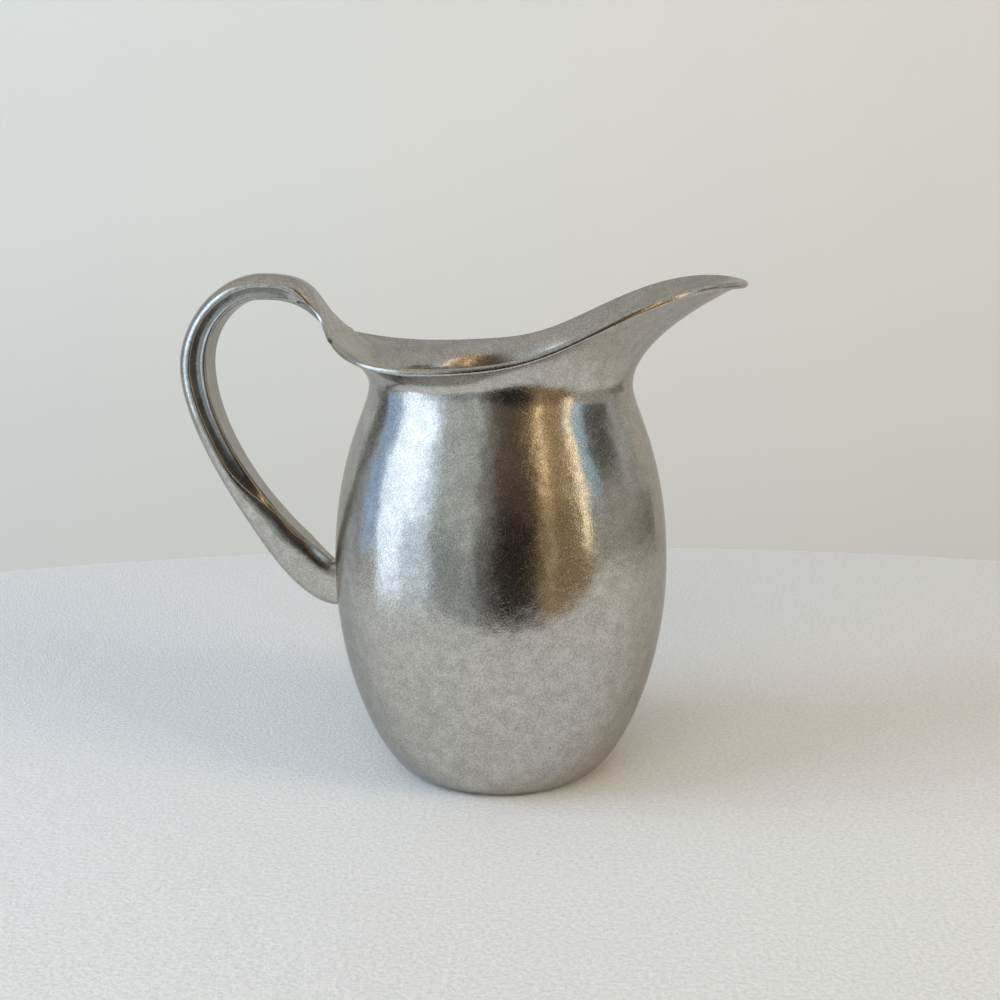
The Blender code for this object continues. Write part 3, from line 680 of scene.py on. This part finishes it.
def satin_stainless(name, finish, light, dull, roughness, grain_depth, worn, along_piece):
    """Stainless steel, drawn or stamped and then satin finished, worn by years of handling.

    A fine grain breaks highlights into sparkle, lines from the finishing wheel stretch them a little, duller
    patches change the gloss, short scratches catch the light and a few dark specks sit in the surface.
    """
    material, tree, output = new_material(name)
    place = add(tree, "ShaderNodeTexCoord").outputs["Object"]
    chart = add(tree, "ShaderNodeUVMap", uv_map=SURFACE_MAP).outputs["UV"]
    grain = add(tree, "ShaderNodeTexNoise", {"Vector": place, "Scale": 1 / finish.grain, "Detail": 2.0,
                                             "Roughness": 0.6}).outputs["Fac"]
    blotch = add(tree, "ShaderNodeTexNoise", {"Vector": place, "Scale": 1 / finish.blotch, "Detail": 5.0,
                                              "Roughness": 0.62}).outputs["Fac"]
    fine, coarse = 1 / finish.line, 1 / (LENGTH_TO_WIDTH * finish.line)
    stretch = (fine, coarse, 1.0) if along_piece else (coarse, fine, 1.0)
    lines = add(tree, "ShaderNodeMapping", {"Vector": chart, "Scale": stretch}).outputs["Vector"]
    lines = add(tree, "ShaderNodeTexNoise", {"Vector": lines, "Scale": 1.0, "Detail": 2.0}).outputs["Fac"]
    scratches = None
    for turn in SCRATCH_TURNS:
        way = add(tree, "ShaderNodeMapping", {"Vector": chart, "Rotation": (0.0, 0.0, turn)})
        narrow = (1 / finish.scratch, LENGTH_TO_WIDTH / finish.scratch, 1.0)
        way = add(tree, "ShaderNodeMapping", {"Vector": way.outputs["Vector"], "Scale": narrow,
                                              "Location": (turn, 3 * turn, 0.0)})
        mark = add(tree, "ShaderNodeTexNoise", {"Vector": way.outputs["Vector"], "Scale": 1.0, "Detail": 0.0})
        mark = add(tree, "ShaderNodeMapRange", {"Value": mark.outputs["Fac"], **SCRATCH_LEVELS})
        mark = mark.outputs["Result"]
        scratches = mark if scratches is None else add(
            tree, "ShaderNodeMath", {0: scratches, 1: mark}, operation="MAXIMUM").outputs[0]
    cells = add(tree, "ShaderNodeTexVoronoi", {"Vector": place, "Scale": 1 / finish.pit_spacing})
    speck = add(tree, "ShaderNodeMapRange", {"Value": cells.outputs["Distance"], **PIT_LEVELS})
    chosen = add(tree, "ShaderNodeSeparateColor", {"Color": cells.outputs["Color"]}).outputs["Red"]
    chosen = add(tree, "ShaderNodeMath", {0: chosen, 1: PIT_CHOICE}, operation="GREATER_THAN").outputs[0]
    pits = add(tree, "ShaderNodeMath", {0: speck.outputs["Result"], 1: chosen}, operation="MULTIPLY")
    tone = add(tree, "ShaderNodeMath", {0: blotch, 1: BLOTCH_WEIGHT, 2: grain}, operation="MULTIPLY_ADD")
    tone = add(tree, "ShaderNodeMapRange", {"Value": tone.outputs[0], **TONE_LEVELS}).outputs["Result"]
    base = add(tree, "ShaderNodeMix", {"Factor": tone, MIX_A: (*dull, 1.0), MIX_B: (*light, 1.0)},
               data_type="RGBA").outputs[MIX_RESULT]
    base = add(tree, "ShaderNodeMix", {"Factor": pits.outputs[0], MIX_A: base, MIX_B: (*finish.pit, 1.0)},
               data_type="RGBA").outputs[MIX_RESULT]
    rough = add(tree, "ShaderNodeMapRange", {"Value": blotch, **BLOTCH_LEVELS,
                                             "To Min": roughness + BLOTCH_ROUGHNESS,
                                             "To Max": roughness - BLOTCH_ROUGHNESS}).outputs["Result"]
    rough = add(tree, "ShaderNodeMath", {0: grain, 1: GRAIN_ROUGHNESS, 2: rough},
                operation="MULTIPLY_ADD").outputs[0]
    rough = add(tree, "ShaderNodeMath", {0: rough, 1: GRAIN_ROUGHNESS / 2}, operation="SUBTRACT").outputs[0]
    rough = add(tree, "ShaderNodeMath", {0: scratches, 1: SCRATCH_ROUGHNESS * worn, 2: rough},
                operation="MULTIPLY_ADD").outputs[0]
    waves = add(tree, "ShaderNodeTexNoise", {"Vector": place, "Scale": 1 / finish.dent, "Detail": 2.0})
    relief = add(tree, "ShaderNodeBump", {"Height": waves.outputs["Fac"], "Distance": finish.dent_depth,
                                          "Strength": 1.0})
    for height, depth, sunk in ((grain, grain_depth, False), (lines, finish.line_depth, False),
                                (scratches, finish.scratch_depth * worn, True)):
        relief = add(tree, "ShaderNodeBump", {"Height": height, "Distance": depth, "Strength": 1.0,
                                              "Normal": relief.outputs["Normal"]}, invert=sunk)
    brushed = add(tree, "ShaderNodeTangent", direction_type="UV_MAP", uv_map=SURFACE_MAP).outputs["Tangent"]
    shader = add(tree, "ShaderNodeBsdfPrincipled", {
        "Base Color": base, "Metallic": 1.0, "Roughness": rough, "Normal": relief.outputs["Normal"],
        "Specular Tint": (*finish.grazing, 1.0), "Anisotropic": finish.stretch,
        "Anisotropic Rotation": 0.0 if along_piece else 0.25, "Tangent": brushed})
    tree.links.new(shader.outputs["BSDF"], output.inputs["Surface"])
    return material


def white_fleece(stage):
    """White fleece cloth: matt, with a soft nap that gives the floor a faint mottled shade."""
    material, tree, output = new_material("white_fleece")
    place = add(tree, "ShaderNodeTexCoord").outputs["Object"]
    nap = add(tree, "ShaderNodeTexNoise", {"Vector": place, "Scale": 1 / stage.nap, "Detail": 6.0,
                                           "Roughness": 0.75}).outputs["Fac"]
    tufts = add(tree, "ShaderNodeMapRange", {"Value": nap, **TUFT_LEVELS}).outputs["Result"]
    shade = add(tree, "ShaderNodeMix", {"Factor": tufts, MIX_A: (*stage.floor_dark, 1.0),
                                        MIX_B: (*stage.floor_colour, 1.0)}, data_type="RGBA")
    relief = add(tree, "ShaderNodeBump", {"Height": nap, "Distance": stage.nap_depth,
                                          "Strength": stage.nap_strength})
    shader = add(tree, "ShaderNodeBsdfPrincipled", {
        "Base Color": shade.outputs[MIX_RESULT], "Roughness": 1.0, "Specular IOR Level": 0.0,
        "Normal": relief.outputs["Normal"]})
    tree.links.new(shader.outputs["BSDF"], output.inputs["Surface"])
    return material


def matt_paint(name, paint):
    """Matt paint, with no gloss at all."""
    material, tree, output = new_material(name)
    shader = add(tree, "ShaderNodeBsdfPrincipled", {
        "Base Color": (*paint, 1.0), "Roughness": 1.0, "Specular IOR Level": 0.0})
    tree.links.new(shader.outputs["BSDF"], output.inputs["Surface"])
    return material


def glowing_card(name, tint, radiance):
    """Evenly lit card, as bright in the steel as the thing it stands for."""
    material, tree, output = new_material(name)
    glow = add(tree, "ShaderNodeEmission", {"Color": (*tint, 1.0), "Strength": radiance})
    tree.links.new(glow.outputs["Emission"], output.inputs["Surface"])
    return material


# Softboxes for the floor and the wall: name, azimuth, elevation, distance, width, height, colour, radiance
SOFTBOXES = (
    ("window_light", -72.0, 24.0, 1.25, 0.80, 1.00, "C6DEFB", 4.9),
    ("warm_lamp", 58.0, 20.0, 1.25, 0.45, 0.60, "FFE6BE", 7.9),
    ("overhead", -5.0, 76.0, 1.50, 1.60, 1.60, "FAFAFF", 0.66),
    ("front_fill", -12.0, 30.0, 1.30, 0.90, 0.70, "FFFCF2", 3.3),
)

# Widest flat piece of a curved card, in degrees
CARD_BEND = 3.0

# Cards that only the steel mirrors: name, azimuth from and to, lowest and highest elevation, colour, radiance
CARDS = (
    ("dark_front_low", -5.0, 24.0, -35.0, 8.0, "FFE6D2", 0.03),
    ("dark_front_middle", -5.0, 24.0, 8.0, 18.0, "FFDCBC", 0.08),
    ("dark_front_high", -5.0, 24.0, 18.0, 66.0, "FFE0BE", 0.13),
    ("grey_jamb_low", -15.0, -5.0, -35.0, 3.0, "FFFCF8", 0.13),
    ("grey_jamb_high", -15.0, -5.0, 3.0, 60.0, "FFFBF0", 0.27),
    ("cabinet_low", -48.0, -15.0, -35.0, 3.0, "F0FAFA", 0.40),
    ("cabinet_high", -48.0, -15.0, 3.0, 42.0, "F4FCFA", 0.62),
    ("pale_edge", -22.5, -19.5, -8.0, 12.0, "FCFFFC", 0.85),
    ("window_high", -90.0, -55.0, 5.0, 43.0, "DCECFF", 2.3),
    ("window_side", -55.0, -48.0, 5.0, 41.0, "DCEEFF", 1.2),
    ("window_low", -90.0, -69.0, -19.0, 5.0, "DCECFF", 2.1),
    ("window_sill", -69.0, -48.0, -15.0, 5.0, "DCEEFF", 1.15),
    ("blue_curtain", -108.0, -90.0, -8.0, 45.0, "BCDCFF", 0.85),
    ("left_frame", -128.0, -115.0, -5.0, 30.0, "FFFFFF", 0.32),
    ("wood_low", 24.0, 62.0, -35.0, 11.0, "FFD6A4", 0.28),
    ("wood_high", 24.0, 62.0, 11.0, 74.0, "FFD6A2", 0.42),
    ("gold_slat_near", 30.0, 33.5, 15.0, 77.0, "FFE0AE", 2.3),
    ("gold_slat_near_low", 30.5, 34.0, -15.0, 15.0, "FFDAB0", 0.70),
    ("gold_slat_far", 55.5, 60.5, -3.0, 66.0, "FFE8C4", 2.5),
    ("blue_slat", 62.0, 72.0, 8.0, 36.0, "B8E2FA", 0.88),
    ("dark_alcove", 73.0, 99.0, 12.0, 30.0, "FFFFE8", 0.11),
    ("right_low", 62.0, 102.0, -16.0, 8.0, "FFF8E8", 0.40),
    ("right_skirting", 102.0, 130.0, -12.0, -1.0, "FFF4DC", 0.27),
)


def around(stage, azimuth, distance, height):
    """Place at an azimuth from the camera's side, positive to the right of the picture."""
    turn = stage.camera_turn + math.radians(azimuth)
    return Vector((math.sin(turn) * distance, -math.cos(turn) * distance, height))


def stage_sheet(name, corners, faces, material):
    """Sheet of the stage from its corners and faces."""
    mesh = bpy.data.meshes.new(name)
    mesh.from_pydata([tuple(corner) for corner in corners], [], faces)
    mesh.materials.append(material)
    sheet = bpy.data.objects.new(name, mesh)
    bpy.context.collection.objects.link(sheet)
    return sheet


class CREAMER_OT_vessel(bpy.types.Operator):
    """Build the drawn vessel with its spout, lip and rolled edge"""

    bl_idname = "creamer.vessel"
    bl_label = "Vessel"

    def execute(self, context):
        scene = context.scene
        finish = scene.creamer_finish
        steel = satin_stainless("satin_stainless_spun", finish, finish.steel, finish.steel_dark,
                                roughness=0.17, grain_depth=0.000022, worn=1.0, along_piece=False)
        piece = skin("creamer_body", vessel_points(scene.creamer_vessel), "poles")
        finish_piece(piece, steel, "body_shell")
        return {"FINISHED"}


class CREAMER_OT_handle(bpy.types.Operator):
    """Build the two stampings of the hollow handle"""

    bl_idname = "creamer.handle"
    bl_label = "Handle"

    def execute(self, context):
        scene = context.scene
        finish = scene.creamer_finish
        vessel, handle = scene.creamer_vessel, scene.creamer_handle
        steel = satin_stainless("satin_stainless_stamped", finish, finish.steel, finish.steel_dark,
                                roughness=0.20, grain_depth=0.000012, worn=0.2, along_piece=True)
        back = skin("creamer_handle_back", strap_points(vessel, handle), "caps")
        finish_piece(back, steel, "handle_back")
        steel = satin_stainless("satin_stainless_inner", finish, finish.inside, finish.inside_dark,
                                roughness=0.19, grain_depth=0.000010, worn=0.2, along_piece=True)
        liner = skin("creamer_handle_liner", liner_points(vessel, handle), "caps")
        finish_piece(liner, steel, "handle_liner")
        return {"FINISHED"}


class CREAMER_OT_welds(bpy.types.Operator):
    """Build the ground weld on the lip and the fillet round the foot"""

    bl_idname = "creamer.welds"
    bl_label = "Welds"

    def execute(self, context):
        scene = context.scene
        finish = scene.creamer_finish
        vessel, handle = scene.creamer_vessel, scene.creamer_handle
        steel = satin_stainless("ground_weld_steel", finish, finish.steel, finish.steel_dark,
                                roughness=0.32, grain_depth=0.000012, worn=0.2, along_piece=True)
        top = skin("creamer_top_weld", top_weld_points(vessel, handle), "caps")
        finish_piece(top, steel, "handle_top_weld")
        foot = skin("creamer_foot_weld", foot_weld_points(vessel, handle), "ring")
        finish_piece(foot, steel, "handle_foot_weld")
        return {"FINISHED"}


class CREAMER_OT_stage(bpy.types.Operator):
    """Build the floor, the wall, the lights and the camera"""

    bl_idname = "creamer.stage"
    bl_label = "Stage"

    def execute(self, context):
        scene = context.scene
        stage = scene.creamer_stage
        aim = Vector((0.0, 0.0, stage.camera_height / 2))
        turn = Matrix.Rotation(stage.camera_turn, 3, "Z")
        steps = np.linspace(0.0, 2 * math.pi, FLOOR_POINTS, endpoint=False)
        across = np.clip(stage.floor_right + stage.floor_radius * np.cos(steps), -stage.floor_left_edge,
                         stage.floor_right_edge)
        away = np.maximum(stage.floor_radius * np.sin(steps) - stage.floor_near, -stage.floor_front_edge)
        rim = [turn @ Vector((x, y, 0.0)) for x, y in zip(across, away)]
        stage_sheet("floor", rim, [range(len(rim))], white_fleece(stage))
        half, tall, back = stage.wall_width / 2, stage.wall_height, stage.wall_distance
        ends = ((half, -tall), (-half, -tall), (-half, tall), (half, tall))
        corners = [turn @ Vector((x, back, z)) for x, z in ends]
        stage_sheet("wall", corners, [range(len(corners))], matt_paint("pale_paint", stage.wall_colour))
        for step, (name, first, last, low, high, code, radiance) in enumerate(CARDS):
            away = stage.card_distance - step * stage.card_step
            bend = np.linspace(first, last, math.ceil((last - first) / CARD_BEND) + 1)
            foot, head = (away * math.tan(math.radians(rise)) for rise in (low, high))
            corners = [aim + around(stage, azimuth, away, z) for azimuth in bend for z in (foot, head)]
            faces = [(2 * i, 2 * i + 2, 2 * i + 3, 2 * i + 1) for i in range(len(bend) - 1)]
            card = stage_sheet(name, corners, faces, glowing_card(name, linear(code), radiance))
            card.visible_camera = False
            card.visible_diffuse = False
            card.visible_shadow = False
        for name, azimuth, elevation, distance, width, height, code, radiance in SOFTBOXES:
            lamp = bpy.data.lights.new(name, "AREA")
            lamp.shape = "RECTANGLE"
            lamp.size = width
            lamp.size_y = height
            lamp.color = linear(code)
            lamp.energy = radiance * math.pi * width * height
            box = bpy.data.objects.new(name, lamp)
            rise = math.radians(elevation)
            box.location = aim + around(stage, azimuth, distance * math.cos(rise), distance * math.sin(rise))
            box.rotation_euler = (box.location - aim).to_track_quat("Z", "Y").to_euler()
            box.visible_camera = False
            box.visible_glossy = False
            context.collection.objects.link(box)
        world = bpy.data.worlds.new("room")
        world.use_nodes = True
        tree = world.node_tree
        background = tree.nodes["Background"]
        background.inputs["Color"].default_value = (*stage.room_colour, 1.0)
        mirrored_ray = add(tree, "ShaderNodeLightPath").outputs["Is Glossy Ray"]
        strength = add(tree, "ShaderNodeMapRange", {"Value": mirrored_ray, "To Min": stage.room_light,
                                                    "To Max": stage.room_mirror})
        tree.links.new(strength.outputs["Result"], background.inputs["Strength"])
        scene.world = world
        lens = bpy.data.cameras.new("camera")
        lens.lens = stage.camera_lens
        camera = bpy.data.objects.new("camera", lens)
        camera.location = around(stage, 0.0, stage.camera_distance, stage.camera_height)
        camera.rotation_euler = (math.pi / 2 - stage.camera_tilt, 0.0, stage.camera_turn + stage.camera_aim)
        context.collection.objects.link(camera)
        scene.camera = camera
        scene.view_settings.view_transform = "Standard"
        return {"FINISHED"}


class VIEW3D_PT_creamer(bpy.types.Panel):
    """Sidebar panel with the steps in order"""

    bl_label = "Creamer"
    bl_space_type = "VIEW_3D"
    bl_region_type = "UI"
    bl_category = "Creamer"

    def draw(self, context):
        for step in STEPS:
            self.layout.operator(step.bl_idname)


STEPS = (CREAMER_OT_vessel, CREAMER_OT_handle, CREAMER_OT_welds, CREAMER_OT_stage)
GROUPS = (("creamer_vessel", VesselSizes), ("creamer_handle", HandleSizes),
          ("creamer_finish", SteelFinish), ("creamer_stage", StageSettings))


def register():
    """Register the property groups, the operators and the panel."""
    for name, group in GROUPS:
        bpy.utils.register_class(group)
        setattr(bpy.types.Scene, name, PointerProperty(type=group))
    for step in STEPS:
        bpy.utils.register_class(step)
    bpy.utils.register_class(VIEW3D_PT_creamer)


def unregister():
    """Take the same classes away again."""
    bpy.utils.unregister_class(VIEW3D_PT_creamer)
    for step in reversed(STEPS):
        bpy.utils.unregister_class(step)
    for name, group in reversed(GROUPS):
        delattr(bpy.types.Scene, name)
        bpy.utils.unregister_class(group)


def main():
    """Build everything in order."""
    register()
    bpy.ops.creamer.vessel()
    bpy.ops.creamer.handle()
    bpy.ops.creamer.welds()
    bpy.ops.creamer.stage()


if __name__ == "__main__":
    main()
